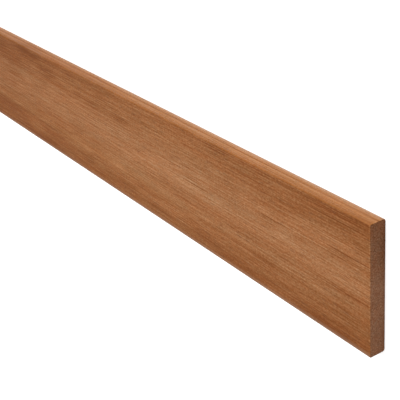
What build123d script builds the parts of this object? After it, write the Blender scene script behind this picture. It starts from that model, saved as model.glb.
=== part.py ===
from build123d import *
import os

# A hardwood lipping strip: one length of straight-grained timber, planed to a thin flat
# section. It is glued to the edge of a flush door or a veneered board to cover the core.
# X runs along the grain, Y across the width and Z up through the thickness.
# The strip lies on its glue face, and the origin is in the middle of that face.

# Driving dimensions, in mm
length = 2100.0  # as sold for doors: one long edge of a 1981 or 2040 leaf, with a trimming offcut
width = 46.0  # covers the edge of a 44 door, with 1 to plane off each side
thickness = 6.0  # from the glue face to the show face
show_arris_radius = 0.4  # the two long corners of the show face, barely eased
glue_arris_radius = 0.9  # the two long corners of the glue face, eased as the strip was planed
end_break_radius = 0.3  # the edges of the two sawn ends, rubbed down so that they don't splinter

os.makedirs("parts", exist_ok=True)

with BuildPart() as lipping_strip:
    # The planed section, seen along the grain, with its lower side on the level of the origin
    with BuildSketch(Plane.YZ.offset(-length / 2)) as planed_section:
        Rectangle(width, thickness, align=(Align.CENTER, Align.MIN))
        show_corners = planed_section.vertices().group_by(Axis.Y)[-1]
        fillet(show_corners, radius=show_arris_radius)
        glue_corners = planed_section.vertices().group_by(Axis.Y)[0]
        fillet(glue_corners, radius=glue_arris_radius)
    extrude(amount=length)

    # Both ends are cross-cut square, and the saw's sharp edge is taken off all round
    sawn_ends = lipping_strip.faces().filter_by(Plane.YZ)
    fillet(sawn_ends.edges(), radius=end_break_radius)

lipping_strip.part.label = "lipping_strip"
export_step(lipping_strip.part, "parts/lipping_strip.step")
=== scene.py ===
import math

import bmesh
import bpy
from mathutils import Matrix, Vector, noise


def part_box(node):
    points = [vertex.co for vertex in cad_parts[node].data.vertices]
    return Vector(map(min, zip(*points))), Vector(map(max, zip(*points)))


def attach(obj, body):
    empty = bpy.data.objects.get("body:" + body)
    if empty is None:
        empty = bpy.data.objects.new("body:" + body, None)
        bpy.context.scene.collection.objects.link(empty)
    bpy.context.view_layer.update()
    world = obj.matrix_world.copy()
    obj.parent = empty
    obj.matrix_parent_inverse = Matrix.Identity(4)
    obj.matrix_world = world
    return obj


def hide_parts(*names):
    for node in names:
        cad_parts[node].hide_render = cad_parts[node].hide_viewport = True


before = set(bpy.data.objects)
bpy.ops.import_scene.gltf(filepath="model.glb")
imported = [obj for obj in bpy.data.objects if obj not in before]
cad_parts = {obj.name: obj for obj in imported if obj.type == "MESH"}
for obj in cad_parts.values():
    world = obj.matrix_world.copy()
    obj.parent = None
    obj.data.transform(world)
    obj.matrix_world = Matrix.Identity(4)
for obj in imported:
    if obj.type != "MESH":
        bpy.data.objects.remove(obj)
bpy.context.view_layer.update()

# The lipping strip: one length of reddish brown hardwood, sawn from a board, planed on its four
# long sides with its corners eased, the lower two the most, and cross-cut square at both ends.
# It is one piece, and the glue holds it by its lower face, so nothing is fixed to it.
mm = 0.001
low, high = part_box("lipping_strip")
centre = (low + high) / 2
size = high - low
show_arris_radius = 0.4 * mm  # the long corners of the show face, barely eased
glue_arris_radius = 0.9 * mm  # those of the glue face
arris_steps = 5
end_break = 0.3 * mm  # the edges of the sawn ends, rubbed down
end_break_steps = 2
end_slope = 0.95  # how squarely a face or a point looks along the strip, to be on a sawn end
arris_margin = 1.2 * mm  # the rows of points on each side start clear of its corners
across_pitch = 0.6 * mm  # between the rows of points, which run along the grain
along_pitch = 5.0 * mm
cut_reach = 0.001 * mm  # a point this near a dividing plane counts as on it


def runs_along(edge):
    return abs(edge.verts[0].co.x - edge.verts[1].co.x) > size.x / 2


strip_mesh = bmesh.new()
sawn_size = Matrix.Translation(centre) @ Matrix.Diagonal((*size, 1.0))
bmesh.ops.create_cube(strip_mesh, size=1.0, matrix=sawn_size)
for on_show_face, radius in ((True, show_arris_radius), (False, glue_arris_radius)):
    long_edges = [e for e in strip_mesh.edges if runs_along(e)]
    bmesh.ops.bevel(
        strip_mesh,
        geom=[e for e in long_edges if (e.verts[0].co.z > centre.z) == on_show_face],
        offset=radius,
        offset_type="OFFSET",
        segments=arris_steps,
        profile=0.5,
        affect="EDGES",
        material=-1,
    )

# The break round each end is a quarter round: the end is pushed in, then drawn out again in
# steps that each leave a narrow rim behind
quarter_steps = [math.radians(90 * step / end_break_steps) for step in range(end_break_steps + 1)]
for outward in (-1, 1):
    end = [f for f in strip_mesh.faces if f.normal.x * outward > end_slope]
    bmesh.ops.translate(strip_mesh, verts=end[0].verts, vec=(-outward * end_break, 0, 0))
    for start, stop in zip(quarter_steps, quarter_steps[1:]):
        bmesh.ops.inset_region(
            strip_mesh,
            faces=end,
            thickness=end_break * (math.cos(start) - math.cos(stop)),
            depth=end_break * (math.sin(stop) - math.sin(start)),
            use_boundary=True,
            use_even_offset=True,
        )


def score(axis, places):
    """Divides every face with planes at right angles to an axis, at the places along it."""
    normal = Vector([float(i == axis) for i in range(3)])
    for place in places:
        everything = strip_mesh.verts[:] + strip_mesh.edges[:] + strip_mesh.faces[:]
        bmesh.ops.bisect_plane(
            strip_mesh, geom=everything, dist=cut_reach, plane_co=normal * place, plane_no=normal
        )


def evenly(start, stop, pitch):
    count = round((stop - start) / pitch)
    return [start + (stop - start) * i / count for i in range(count + 1)]


score(1, evenly(low.y + arris_margin, high.y - arris_margin, across_pitch))
score(2, evenly(low.z + arris_margin, high.z - arris_margin, across_pitch))
score(0, (low.x + arris_margin, high.x - arris_margin))
bmesh.ops.subdivide_edges(
    strip_mesh,
    edges=[e for e in strip_mesh.edges if runs_along(e)],
    cuts=round(size.x / along_pitch) - 1,
    use_grid_fill=True,
)

# The relief: the plane leaves the soft wood between the fibres a hair lower, and the saw tears
# the ends. It all lies below the true faces, so the strip keeps its size.
grain_relief = 0.04 * mm
saw_relief = 0.07 * mm
mean_depth = 0.5  # of the relief, and the share of it that each pattern moves it by
band_share = 0.5
ridge_share = 0.4
arc_share = 0.15
tear_share = 0.5
band_length = 260  # mm, of the soft bands in the planed wood
band_width = 4.5
ridge_length = 80  # mm, of the ridges between its fibres
ridge_width = 1.5
ridge_shift = 30  # keeps the ridges' pattern apart from the bands'
saw_tooth_pitch = 1.7  # mm, between the arcs on the ends
saw_centre_y = -70.0  # mm, where the blade's axle was
saw_centre_z = 130.0
tear_length = 40  # mm, along the grain
tear_width = 0.9
sawn_slope = 0.7  # the same for a face that looks sawn, which takes in half of the end's break


def planed_depth(place):
    x, y, z = place / mm
    band = noise.noise(Vector((x / band_length, y / band_width, z / band_width)))
    beside = y / ridge_width + ridge_shift
    ridge = noise.noise(Vector((x / ridge_length, beside, z / ridge_width)))
    share = mean_depth + band_share * band + ridge_share * ridge
    return grain_relief * min(max(share, 0.0), 1.0)


def sawn_depth(place):
    x, y, z = place / mm
    reach = math.hypot(y - saw_centre_y, z - saw_centre_z)
    arc = math.sin(2 * math.pi * reach / saw_tooth_pitch)
    torn = noise.noise(Vector((y / tear_width, z / tear_width, x / tear_length)))
    share = mean_depth + arc_share * arc + tear_share * torn
    return saw_relief * min(max(share, 0.0), 1.0)


strip_mesh.normal_update()
for vert in strip_mesh.verts:
    on_the_end = abs(vert.normal.x) > end_slope
    depth = sawn_depth(vert.co) if on_the_end else planed_depth(vert.co)
    vert.co -= vert.normal * depth
strip_mesh.normal_update()
for face in strip_mesh.faces:
    face.smooth = True
    face.material_index = int(abs(face.normal.x) > sawn_slope)

# The surface laid out flat: the four sides are unrolled round the section, from the long corner
# at the front of the show face, and cut in two lengths, with the two ends in a row above them
layout = strip_mesh.loops.layers.uv.new("OFBake")
layout_margin = 0.01
length_width = 0.98  # of the square, for each of the two lengths
length_height = 0.45
length_gap = 0.013
end_width = 0.45
end_height = 0.04
for face in strip_mesh.faces:
    middle = face.calc_center_median() - low
    half = int(middle.x > size.x / 2)
    over_the_top = face.normal.y + face.normal.z > 0
    for corner in face.loops:
        x, y, z = corner.vert.co - low
        if face.material_index:
            u = layout_margin + half / 2 + end_width * y / size.y
            v = 1 - layout_margin - end_height * z / size.z
        else:
            unrolled = y + size.z - z if over_the_top else size.z + 2 * size.y - y + z
            u = layout_margin + length_width * (2 * x / size.x - half)
            v = layout_margin + half * (length_height + length_gap)
            v += length_height * unrolled / (2 * (size.y + size.z))
        corner[layout].uv = (u, v)

strip_data = bpy.data.meshes.new("planed_strip")
strip_mesh.to_mesh(strip_data)
strip_mesh.free()
planed_strip = bpy.data.objects.new("planed_strip", strip_data)
bpy.context.scene.collection.objects.link(planed_strip)
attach(planed_strip, "root")
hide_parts("lipping_strip")

# The timber's look, all through the piece: fine fibres, soft bands and short open pores along
# the grain, of a warm brown without any finish, smoother where planed than where sawn.
bare_wood_shine = 0.2
fibre_height = 0.05 * mm  # what the bump adds to the relief
figure_roughness = 0.6  # how strong a figure's finer detail is
mark_core = 0.4  # the share of a mark's width, and of a spot's reach, that is at full strength
spot_core = 0.2
low_fibres = 0.3  # from 0 to 1: the height where the wood is roughest, and where smoothest
high_fibres = 0.7
warm_shares = (0.07, -0.035, -0.13)  # of red, green and blue


class Timber:
    """A wood material whose pattern runs all through the strip.

    Places in it are in mm, from the middle of the near end's lower edge.
    """

    def __init__(self, name):
        self.material = bpy.data.materials.new(name)
        self.material.use_nodes = True
        self.tree = self.material.node_tree
        self.shader = self.tree.nodes["Principled BSDF"]
        coordinates = self.tree.nodes.new("ShaderNodeTexCoord")
        in_mm = self.tree.nodes.new("ShaderNodeMapping")
        in_mm.inputs["Scale"].default_value = (1 / mm, 1 / mm, 1 / mm)
        in_mm.inputs["Location"].default_value = (-high.x / mm, -centre.y / mm, -low.z / mm)
        self.tree.links.new(coordinates.outputs["Object"], in_mm.inputs["Vector"])
        self.place = in_mm.outputs["Vector"]

    def feed(self, socket, value):
        """Joins a socket to another node's result, or gives it a fixed value."""
        if isinstance(value, bpy.types.NodeSocket):
            self.tree.links.new(value, socket)
        else:
            socket.default_value = value

    def reckon(self, operation, *values):
        node = self.tree.nodes.new("ShaderNodeMath")
        node.operation = operation
        for socket, value in zip(node.inputs, values):
            self.feed(socket, value)
        return node.outputs["Value"]

    def reckon_all(self, operation, *values):
        """The same, on the three parts of a place or a colour at once."""
        node = self.tree.nodes.new("ShaderNodeVectorMath")
        node.operation = operation
        for socket, value in zip(node.inputs, values):
            self.feed(socket, value)
        return node.outputs["Vector"]

    def part_of(self, place, axis):
        node = self.tree.nodes.new("ShaderNodeSeparateXYZ")
        self.feed(node.inputs["Vector"], place)
        return node.outputs[axis]

    def total(self, *values):
        result = values[0]
        for value in values[1:]:
            result = self.reckon("ADD", result, value)
        return result

    def flattened(self, place):
        """The growth rings cross the section at 45 degrees, so every side shows them as lines."""
        node = self.tree.nodes.new("ShaderNodeCombineXYZ")
        across = self.total(self.part_of(place, "Y"), self.part_of(place, "Z"))
        self.feed(node.inputs["X"], self.part_of(place, "X"))
        self.feed(node.inputs["Y"], across)
        return node.outputs["Vector"]

    def ease(self, value, start, stop, low=0.0, high=1.0):
        node = self.tree.nodes.new("ShaderNodeMapRange")
        node.interpolation_type = "SMOOTHSTEP"
        self.feed(node.inputs["Value"], value)
        self.feed(node.inputs["From Min"], start)
        self.feed(node.inputs["From Max"], stop)
        self.feed(node.inputs["To Min"], low)
        self.feed(node.inputs["To Max"], high)
        return node.outputs["Result"]

    def stretched(self, place, grain_size, shift):
        """The place in a pattern whose figures are about grain_size long, wide and deep."""
        along, across, deep = grain_size
        scaled = self.reckon_all("MULTIPLY", place, (1 / along, 1 / across, 1 / deep))
        return self.reckon_all("ADD", scaled, (shift, shift, shift))

    def figure(self, place, grain_size, shift, detail=0.0, output="Fac"):
        """Soft light and dark, from 0 to 1."""
        node = self.tree.nodes.new("ShaderNodeTexNoise")
        node.inputs["Scale"].default_value = 1.0
        node.inputs["Detail"].default_value = detail
        node.inputs["Roughness"].default_value = figure_roughness
        self.feed(node.inputs["Vector"], self.stretched(place, grain_size, shift))
        return node.outputs[output]

    def swing(self, place, grain_size, shift, strength, detail=0.0):
        """The same figure, as a change of tone up and down."""
        figure = self.figure(place, grain_size, shift, detail)
        return self.reckon("MULTIPLY", self.reckon("SUBTRACT", figure, 0.5), strength)

    def drift(self, grain_size, shift, reach):
        """How far the grain strays from a straight line, across the strip and through it."""
        figure = self.figure(self.place, grain_size, shift, output="Color")
        from_middle = self.reckon_all("SUBTRACT", figure, (0.5, 0.5, 0.5))
        return self.reckon_all("MULTIPLY", from_middle, (0, *reach))

    def dashes(self, place, cell_size, shift, width, share):
        """Short marks along the grain, such as pores, in a share of the cells."""
        node = self.tree.nodes.new("ShaderNodeTexVoronoi")
        node.inputs["Scale"].default_value = 1.0
        self.feed(node.inputs["Vector"], self.stretched(place, cell_size, shift))
        mark = self.ease(node.outputs["Distance"], width, width * mark_core)
        lot = self.tree.nodes.new("ShaderNodeSeparateColor")
        self.feed(lot.inputs["Color"], node.outputs["Color"])
        drawn = self.ease(lot.outputs["Red"], 1 - share, 1 - share / 2)
        return self.reckon("MULTIPLY", mark, drawn)

    def spot(self, middle, reach):
        """A soft long spot, from 1 in its middle to 0 at its reach along, across and through."""
        node = self.tree.nodes.new("ShaderNodeMapping")
        node.inputs["Location"].default_value = [-m / r for m, r in zip(middle, reach)]
        node.inputs["Scale"].default_value = [1 / r for r in reach]
        self.feed(node.inputs["Vector"], self.straight)
        distance = self.tree.nodes.new("ShaderNodeVectorMath")
        distance.operation = "LENGTH"
        self.feed(distance.inputs[0], node.outputs["Vector"])
        return self.ease(distance.outputs["Value"], 1.0, spot_core)

    def profile(self, value, points):
        """A smooth line through points of (mm, tone), read at a distance in mm."""
        start = points[0][0]
        span = points[-1][0] - start
        node = self.tree.nodes.new("ShaderNodeFloatCurve")
        node.mapping.extend = "HORIZONTAL"
        line = node.mapping.curves[0]
        line.points[0].location = (0.0, points[0][1])
        line.points[1].location = (1.0, points[-1][1])
        for distance, tone in points[1:-1]:
            line.points.new((distance - start) / span, tone)
        node.mapping.update()
        share = self.reckon("DIVIDE", self.reckon("SUBTRACT", value, start), span)
        self.feed(node.inputs["Value"], share)
        return node.outputs["Value"]

    def ramp(self, value, stops):
        node = self.tree.nodes.new("ShaderNodeValToRGB")
        band = node.color_ramp
        while len(band.elements) < len(stops):
            band.elements.new(0.5)
        for element, (position, colour) in zip(band.elements, stops):
            element.position = position
            element.color = (*colour, 1.0)
        self.feed(node.inputs["Fac"], value)
        return node.outputs["Color"]

    def mix(self, amount, first, second):
        node = self.tree.nodes.new("ShaderNodeMix")
        node.data_type = "FLOAT"
        self.feed(node.inputs[0], amount)
        self.feed(node.inputs[2], first)
        self.feed(node.inputs[3], second)
        return node.outputs[0]

    def tint(self, amount, first, second):
        node = self.tree.nodes.new("ShaderNodeMix")
        node.data_type = "RGBA"
        self.feed(node.inputs[0], amount)
        self.feed(node.inputs[6], first)
        self.feed(node.inputs[7], (*second, 1.0))
        return node.outputs[2]

    def grow(self, flat):
        """Draws the fibres, bands and pores, the fine ones as lines on every side if flat.

        Each swing is given the size of its figures in mm, a shift that keeps it apart from the
        others, and its strength.
        """
        wobble = self.drift((45, 12, 12), 5, (0.24, 0.2))
        wander = self.drift((190, 40, 40), 3, (1.3, 1.0))
        self.straight = self.reckon_all("ADD", self.place, wobble)
        self.grain = self.reckon_all("ADD", self.straight, wander)
        fine = self.flattened(self.grain) if flat else self.grain
        self.fibres = self.figure(fine, (26, 0.5, 0.5), 13)
        self.grain_tone = self.total(
            self.swing(self.grain, (320, 9, 9), 7, 0.08),
            self.swing(fine, (120, 2.8, 2.8), 11, 0.11),
            self.swing(fine, (120, 0.38, 0.38), 17, 0.40),
            self.reckon("MULTIPLY", self.reckon("SUBTRACT", self.fibres, 0.5), 0.36),
            self.swing(fine, (9, 0.45, 0.45), 18, 0.48),
            self.swing(fine, (2.2, 0.5, 0.5), 22, 0.26),
            self.swing(fine, (0.9, 0.55, 0.55), 19, 0.54),
            self.swing(self.place, (34, 13, 13), 23, 0.20),
        )
        self.pores = self.dashes(self.grain, (5.0, 0.5, 0.5), shift=29, width=0.42, share=0.4)
        self.warmth = self.total(
            self.swing(self.grain, (55, 6, 6), 31, 1.7, detail=1),
            self.swing(fine, (7, 2.6, 2.6), 32, 1.0),
            self.swing(fine, (1.9, 1.1, 1.1), 33, 1.2),
            self.swing(fine, (0.8, 0.6, 0.6), 34, 1.2),
        )

    def shifted(self, colour, amount, shares):
        """The colour with its red, green and blue raised, each by its share of the amount."""
        change = self.reckon_all("MULTIPLY_ADD", amount, shares, (1, 1, 1))
        return self.reckon_all("MULTIPLY", colour, change)

    def warmed(self, colour):
        """The colour made redder where the timber is warm and greyer where it is cool."""
        return self.shifted(colour, self.warmth, warm_shares)

    def finish(self, colour, rough, smooth):
        """Lays on the colour, the bump, and the roughness, from low fibres to high ones."""
        roughness = self.ease(self.fibres, low_fibres, high_fibres, rough, smooth)
        self.feed(self.shader.inputs["Base Color"], colour)
        self.feed(self.shader.inputs["Roughness"], roughness)
        self.shader.inputs["Specular IOR Level"].default_value = bare_wood_shine
        bump = self.tree.nodes.new("ShaderNodeBump")
        bump.inputs["Distance"].default_value = fibre_height
        self.feed(bump.inputs["Height"], self.reckon("SUBTRACT", self.fibres, self.pores))
        self.feed(self.shader.inputs["Normal"], bump.outputs["Normal"])


planed = Timber("planed_long_grain")
planed.grow(flat=True)
# The planed sides. From its front long edge to its back one, the show face is palest in the
# middle and darkest at the two sides, partly the wood's own tone and partly a painted broad
# sheen.
face_tone = planed.profile(
    planed.part_of(planed.grain, "Y"),
    [
        (-23.0, 0.27),
        (-20.0, 0.30),
        (-17.0, 0.35),
        (-14.0, 0.41),
        (-12.0, 0.43),
        (-8.3, 0.56),
        (-5.2, 0.53),
        (-3.0, 0.58),
        (0.0, 0.65),
        (4.5, 0.61),
        (9.0, 0.535),
        (12.0, 0.48),
        (14.0, 0.465),
        (18.5, 0.42),
        (21.0, 0.41),
        (23.0, 0.36),
    ],
)
# The narrow edges are pale towards the glue face, with one dark growth line along them
edge_tone = planed.profile(
    planed.part_of(planed.straight, "Z"),
    [
        (0.0, 0.74),
        (1.2, 0.70),
        (1.7, 0.68),
        (2.1, 0.67),
        (2.35, 0.61),
        (2.6, 0.29),
        (2.9, 0.29),
        (3.2, 0.64),
        (3.6, 0.71),
        (4.0, 0.61),
        (4.5, 0.51),
        (5.25, 0.41),
        (6.0, 0.34),
    ],
)
# The timber is brightest 60 to 100 mm from the near end, duller either side, and even past 420.
face_dullness = planed.profile(
    planed.part_of(planed.place, "X"),
    [
        (-420, 0.06),
        (-320, 0.20),
        (-270, 0.20),
        (-220, 0.14),
        (-180, 0.07),
        (-140, 0.05),
        (-100, 0.01),
        (-60, 0.03),
        (-28, 0.055),
        (-8, 0.12),
        (0, 0.15),
    ],
)
edge_dullness = planed.profile(
    planed.part_of(planed.place, "X"),
    [
        (-420, 0.06),
        (-320, 0.24),
        (-230, 0.24),
        (-165, 0.18),
        (-100, 0.06),
        (-60, 0.0),
        (-30, 0.03),
        (0, 0.08),
    ],
)
half_width = size.y / mm / 2
corner_start = 0.5  # mm in from the side, where the show face's look gives way to the edge's
corner_stop = 0.05
from_the_middle = planed.reckon("ABSOLUTE", planed.part_of(planed.place, "Y"))
on_the_edge = planed.ease(from_the_middle, half_width - corner_start, half_width - corner_stop)
# Where the grain rises to the show face it leaves darker patches: the middle of each, along
# and across, its reach both ways, in mm, and how dark it is
patches = [
    ((-12, 21.0), (26, 3.5), 0.12),
    ((-54, 18.5), (14, 3.0), 0.07),
    ((-68, 12.0), (9, 2.6), 0.10),
    ((-76, 8.0), (10, 4.0), 0.05),
    ((-75, 22.0), (11, 2.5), 0.14),
    ((-52, -11.5), (14, 2.6), 0.10),
    ((-86, -17.5), (14, 3.4), 0.11),
    ((-20, -21.0), (26, 2.6), 0.14),
    ((-64, -20.8), (26, 2.0), 0.08),
    ((-120, -18.5), (16, 2.0), 0.09),
    ((-130, 17.5), (12, 4.0), 0.08),
    ((-143, 12.5), (10, 3.2), 0.14),
    ((-147, -17.0), (14, 3.0), 0.06),
    ((-166, 12.0), (12, 5.0), 0.08),
    ((-179, 13.5), (6, 2.4), 0.12),
    ((-179, -16.0), (12, 2.6), 0.10),
    ((-192, 10.0), (16, 4.0), 0.06),
    ((-208, 15.5), (13, 4.5), 0.16),
    ((-226, 21.5), (24, 3.5), 0.20),
    ((-262, -13.0), (24, 3.5), 0.10),
    ((-262, 0.5), (26, 4.5), 0.10),
    ((-262, 19.0), (18, 4.0), 0.14),
]
# Between them are a few paler ones
pale_patches = [
    ((-97, 0.5), (13, 3.5), 0.07),
    ((-78, -1.0), (8, 3.0), 0.06),
    ((-157, 4.5), (13, 4.5), 0.06),
    ((-36, 9.5), (14, 3.8), 0.10),
    ((-16, 11.5), (24, 4.5), 0.11),
    ((-96, 11.5), (8, 3.0), 0.06),
    ((-262, 9.0), (28, 4.5), 0.12),
    ((-190, -11.5), (26, 3.5), 0.12),
    ((-270, -19.0), (30, 4.0), 0.08),
    ((-140, -20.5), (30, 3.0), 0.08),
    ((-172, -20.5), (12, 3.0), 0.09),
    ((-228, -16.5), (18, 4.0), 0.17),
    ((-168, -2.5), (14, 3.0), 0.07),
    ((-232, 8.5), (14, 4.5), 0.15),
    ((-54, 6.5), (14, 3.5), 0.05),
    ((-45, 18.0), (16, 4.0), 0.09),
    ((-92, -9.5), (10, 4.0), 0.05),
    ((-130, -16.5), (12, 3.5), 0.06),
    ((-154, -11.5), (14, 5.0), 0.07),
    ((-213, -8.5), (12, 4.5), 0.08),
]
# A few growth lines are darker than the rest
lines = [
    ((-218, 17.8), (17, 0.34), 0.14),
    ((-228, 11.4), (14, 0.34), 0.16),
    ((-150, 2.3), (75, 0.30), 0.12),
    ((-240, -10.8), (18, 0.40), 0.14),
    ((-184, -3.5), (12, 0.34), 0.20),
    ((-180, -7.3), (20, 0.30), 0.16),
    ((-108, 6.3), (9, 0.32), 0.18),
    ((-116, -19.0), (13, 0.40), 0.18),
    ((-90, 2.3), (14, 0.34), 0.32),
    ((-98, -6.7), (12, 0.36), 0.42),
    ((-85, -4.9), (90, 0.28), 0.14),
    ((-48, 6.4), (14, 0.34), 0.36),
    ((-66, 7.9), (4, 0.40), 0.28),
    ((-50, -6.5), (40, 0.28), 0.12),
    ((-28, -13.5), (45, 0.28), 0.10),
    ((-12, 18.7), (17, 0.30), 0.20),
    ((-14, 20.6), (20, 0.30), 0.20),
    ((-7, 8.7), (18, 0.30), 0.32),
    ((-7, -4.9), (18, 0.32), 0.36),
]
show_face = size.z / mm
darker = 0.0
paler = 0.0
for (along, aside), (long_reach, side_reach), darkness in patches + lines:
    spot = planed.spot((along, aside, show_face), (long_reach, side_reach, show_face))
    darker = planed.reckon("MULTIPLY_ADD", spot, darkness, darker)
for (along, aside), (long_reach, side_reach), paleness in pale_patches:
    spot = planed.spot((along, aside, show_face), (long_reach, side_reach, show_face))
    paler = planed.reckon("MULTIPLY_ADD", spot, paleness, paler)
# Past the stretch that the picture shows, patches and lines of the same kind lie where they may
picture_stop = -290  # mm
chance_start = -330
past_the_picture = planed.ease(planed.part_of(planed.place, "X"), picture_stop, chance_start)
by_chance = planed.total(
    planed.swing(planed.grain, (60, 6, 6), shift=43, strength=0.4),
    planed.swing(planed.flattened(planed.grain), (60, 0.9, 0.9), shift=47, strength=0.3),
)
paler = planed.reckon("MULTIPLY_ADD", past_the_picture, by_chance, paler)
# The fibres break up the patches and the lines, and the grain is fainter on the narrow edges
edge_grain = 0.65
broken_up = planed.ease(planed.fibres, start=0.25, stop=0.75, low=1.4, high=0.6)
darker = planed.reckon("MULTIPLY", darker, broken_up)
dullness = planed.mix(on_the_edge, face_dullness, edge_dullness)
grain_contrast = planed.ease(on_the_edge, start=0.0, stop=1.0, low=1.0, high=edge_grain)
grain_tone = planed.reckon("MULTIPLY", planed.grain_tone, grain_contrast)
tone = planed.total(planed.mix(on_the_edge, face_tone, edge_tone), grain_tone, paler)
tone = planed.reckon("SUBTRACT", tone, planed.total(darker, dullness))
# Painted highlight: the rubbed edges round the two ends are made paler in places, as if they
# caught the light
half_length = size.x / mm / 2
highlight_start = 0.8  # mm in from the end
highlight_full = 0.4
highlight_strength = 0.20
from_the_centre = planed.total(planed.part_of(planed.place, "X"), half_length)
from_the_centre = planed.reckon("ABSOLUTE", from_the_centre)
end_edge_highlight = planed.ease(from_the_centre, half_length - highlight_start, half_length - highlight_full)
highlight_spots = planed.figure(planed.place, (1.0, 0.8, 0.8), shift=37)
highlight_here = planed.ease(highlight_spots, start=0.4, stop=0.65, high=highlight_strength)
tone = planed.reckon("MULTIPLY_ADD", end_edge_highlight, highlight_here, tone)
planed_browns = [
    (0.0, (0.204, 0.057, 0.008)),
    (0.3, (0.293, 0.100, 0.025)),
    (0.65, (0.420, 0.180, 0.070)),
    (1.0, (0.562, 0.285, 0.136)),
]
colour = planed.warmed(planed.ramp(tone, planed_browns))
# Towards the sides of the show face, and away from the near end, the brown is purer
side_purity = planed.profile(
    planed.part_of(planed.place, "Y"),
    [
        (-23.0, 0.98),
        (-14.0, 0.95),
        (-8.0, 0.78),
        (-3.0, 0.38),
        (3.0, 0.24),
        (9.0, 0.32),
        (14.0, 0.58),
        (23.0, 0.72),
    ],
)
face_purity = planed.ease(planed.part_of(planed.place, "X"), start=10, stop=-220, low=0.2)
face_purity = planed.reckon("MULTIPLY", side_purity, face_purity)
edge_purity = planed.ease(planed.part_of(planed.place, "X"), start=-80, stop=-180, high=0.6)
purity = planed.mix(on_the_edge, face_purity, edge_purity)
pure_shares = (0.018, -0.017, -0.165)  # of red, green and blue
colour = planed.shifted(colour, purity, pure_shares)
# The narrow edges are warmer than the faces, the show face's front corner is paler with a painted
# highlight, the glue face's corners are paler with a painted sheen, and the pores are dark
edge_orange = (0.40, 0.14, 0.0)
edge_orange_share = 0.2
front_corner_highlight_brown = (0.45, 0.285, 0.19)
front_corner_highlight_share = 0.4
glue_corner_sheen_brown = (0.60, 0.47, 0.36)
glue_corner_sheen_share = 0.32
pore_brown = (0.15, 0.05, 0.015)
pore_share = 0.3
warmer = planed.reckon("MULTIPLY", on_the_edge, edge_orange_share)
colour = planed.tint(warmer, colour, edge_orange)
across = planed.part_of(planed.place, "Y")
# Painted highlight along the front corner, which turns away from the lamp and is made paler to
# look lit
front_corner_highlight = planed.ease(across, start=-20.8, stop=-22.8, high=front_corner_highlight_share)
colour = planed.tint(front_corner_highlight, colour, front_corner_highlight_brown)
upward = planed.part_of(planed.place, "Z")
# Painted sheen on the narrow edges near the glue face, where its rounded corners would catch the
# light
glue_corner_sheen = planed.ease(upward, start=2.2, stop=0.6, high=glue_corner_sheen_share)
colour = planed.tint(planed.reckon("MULTIPLY", glue_corner_sheen, on_the_edge), colour, glue_corner_sheen_brown)
pored = planed.reckon("MULTIPLY", planed.pores, pore_share)
colour = planed.tint(pored, colour, pore_brown)
planed.finish(colour, rough=0.62, smooth=0.50)

sawn = Timber("sawn_end_grain")
sawn.grow(flat=False)
# The sawn ends, duller than the sides, and darkest towards the back long edge
end_tone = sawn.profile(
    sawn.part_of(sawn.place, "Y"),
    [
        (-23.0, 0.44),
        (-20.0, 0.45),
        (-14.0, 0.50),
        (-9.0, 0.60),
        (-4.0, 0.50),
        (0.0, 0.59),
        (4.0, 0.53),
        (7.0, 0.46),
        (10.0, 0.38),
        (15.0, 0.37),
        (20.0, 0.28),
        (23.0, 0.22),
    ],
)
patch_reach = (20, 9.0, 2.6)
patch_strength = 0.12
damp_patch = sawn.spot((0, 13.0, 1.0), patch_reach)
dry_patch = sawn.spot((0, -3.0, 0.8), patch_reach)
patch_tone = sawn.reckon("SUBTRACT", dry_patch, damp_patch)
patch_tone = sawn.reckon("MULTIPLY", patch_tone, patch_strength)
end_tone = sawn.total(end_tone, sawn.grain_tone, patch_tone)
sawn_browns = [
    (0.0, (0.160, 0.049, 0.009)),
    (0.5, (0.302, 0.131, 0.062)),
    (1.0, (0.450, 0.222, 0.122)),
]
colour = sawn.warmed(sawn.ramp(end_tone, sawn_browns))
# Open pores, red blotches, and a painted shade along the glue face's edge, the darkest towards
# the back
open_pore_brown = (0.08, 0.032, 0.014)
open_pore_share = 0.4
blotch_red = (0.26, 0.088, 0.034)
blotch_share = 0.5
rim_shade_brown = (0.16, 0.05, 0.02)
pored = sawn.reckon("MULTIPLY", sawn.pores, open_pore_share)
colour = sawn.tint(pored, colour, open_pore_brown)
blotches = sawn.figure(sawn.place, (30, 2.6, 1.6), shift=41, detail=1)
redder = sawn.ease(blotches, start=0.45, stop=0.75, high=blotch_share)
colour = sawn.tint(redder, colour, blotch_red)
# Painted shade along the end's edge at the glue face, next to the floor, strongest towards the
# back
back_rim_shade = sawn.ease(sawn.part_of(sawn.place, "Z"), start=1.1, stop=0.2)
rim_shade_strength = sawn.ease(sawn.part_of(sawn.place, "Y"), start=2.0, stop=11.0, low=0.15, high=0.65)
colour = sawn.tint(sawn.reckon("MULTIPLY", back_rim_shade, rim_shade_strength), colour, rim_shade_brown)
sawn.finish(colour, rough=0.88, smooth=0.76)

strip_data.materials.append(planed.material)
strip_data.materials.append(sawn.material)

# The floor: a plain sheet of white paper that the strip lies on, wide enough to fill the picture
# from any side. It glows only where the camera or a reflection sees it, so it looks white, lights
# nothing and still takes the strip's shadow.
floor_reach = 40.0
paper_colour = (0.85, 0.85, 0.85, 1.0)
paper_roughness = 0.9
paper_shine = 0.1
paper_glow = 0.66
white = (1.0, 1.0, 1.0, 1.0)


def seen_by(tree, *rays):
    """Gives 1 to rays of these kinds, and 0 to the rest, which bring the strip its light."""
    light_path = tree.nodes.new("ShaderNodeLightPath")
    seen = tree.nodes.new("ShaderNodeMath")
    seen.operation = "MAXIMUM"
    for socket, ray in zip(seen.inputs, rays):
        tree.links.new(light_path.outputs[ray], socket)
    return seen.outputs["Value"]


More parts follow.
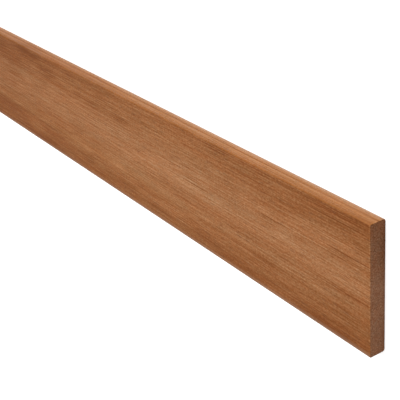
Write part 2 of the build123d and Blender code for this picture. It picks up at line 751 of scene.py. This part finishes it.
floor_mesh = bmesh.new()
bmesh.ops.create_grid(floor_mesh, x_segments=1, y_segments=1, size=floor_reach)
floor_data = bpy.data.meshes.new("floor")
floor_mesh.to_mesh(floor_data)
floor_mesh.free()
floor = bpy.data.objects.new("floor", floor_data)
bpy.context.scene.collection.objects.link(floor)
paper = bpy.data.materials.new("white_paper")
paper.use_nodes = True
paper_tree = paper.node_tree
paper_shader = paper_tree.nodes["Principled BSDF"]
paper_shader.inputs["Base Color"].default_value = paper_colour
paper_shader.inputs["Roughness"].default_value = paper_roughness
paper_shader.inputs["Specular IOR Level"].default_value = paper_shine
paper_shader.inputs["Emission Color"].default_value = white
glow = paper_tree.nodes.new("ShaderNodeMath")
glow.operation = "MULTIPLY"
glow.inputs[1].default_value = paper_glow
paper_tree.links.new(seen_by(paper_tree, "Is Camera Ray", "Is Glossy Ray"), glow.inputs[0])
paper_tree.links.new(glow.outputs["Value"], paper_shader.inputs["Emission Strength"])
floor_data.materials.append(paper)

# The light: a white room, which the camera sees at full white and the strip at less, and one
# broad lamp over the back long edge of the strip.
room_light = 0.45
room_seen = 1.0
key_strength = 2.3
key_spread = math.radians(50)
towards_key = Vector((-0.30, 0.70, 0.75))
key_distance = 2
room = bpy.data.worlds.new("white_room")
bpy.context.scene.world = room
room.use_nodes = True
room_tree = room.node_tree
room_strength = room_tree.nodes.new("ShaderNodeMapRange")
room_strength.inputs["To Min"].default_value = room_light
room_strength.inputs["To Max"].default_value = room_seen
seen_room = seen_by(room_tree, "Is Camera Ray", "Is Transmission Ray")
room_tree.links.new(seen_room, room_strength.inputs["Value"])
backdrop = room_tree.nodes["Background"]
backdrop.inputs["Color"].default_value = white
room_tree.links.new(room_strength.outputs["Result"], backdrop.inputs["Strength"])

key_light = bpy.data.lights.new("key_lamp", "SUN")
key_light.energy = key_strength
key_light.angle = key_spread
key_lamp = bpy.data.objects.new("key_lamp", key_light)
key_lamp.rotation_euler = towards_key.to_track_quat("Z", "Y").to_euler()
key_lamp.location = towards_key * key_distance
bpy.context.scene.collection.objects.link(key_lamp)

# The camera: over the near end, looking down on the show face, and turned on its side, so that
# the picture has the strip on its long edge.
film_width = 36.0
lens_length = 87.03
near_edge = Vector((high.x, centre.y, high.z))  # the middle of the show face's near edge
camera_place = near_edge + Vector((174.91, 156.44, 164.05)) * mm
looked_at = near_edge + Vector((-88.44, -2.80, 0.0)) * mm
camera_roll = math.radians(-111.09)
camera_data = bpy.data.cameras.new("camera")
camera_data.sensor_width = film_width
camera_data.lens = lens_length
camera = bpy.data.objects.new("camera", camera_data)
camera.location = camera_place
level = (camera_place - looked_at).to_track_quat("Z", "Y").to_matrix()
camera.rotation_euler = (level @ Matrix.Rotation(camera_roll, 3, "Z")).to_euler()
bpy.context.scene.collection.objects.link(camera)
bpy.context.scene.camera = camera
bpy.context.scene.view_settings.view_transform = "Standard"
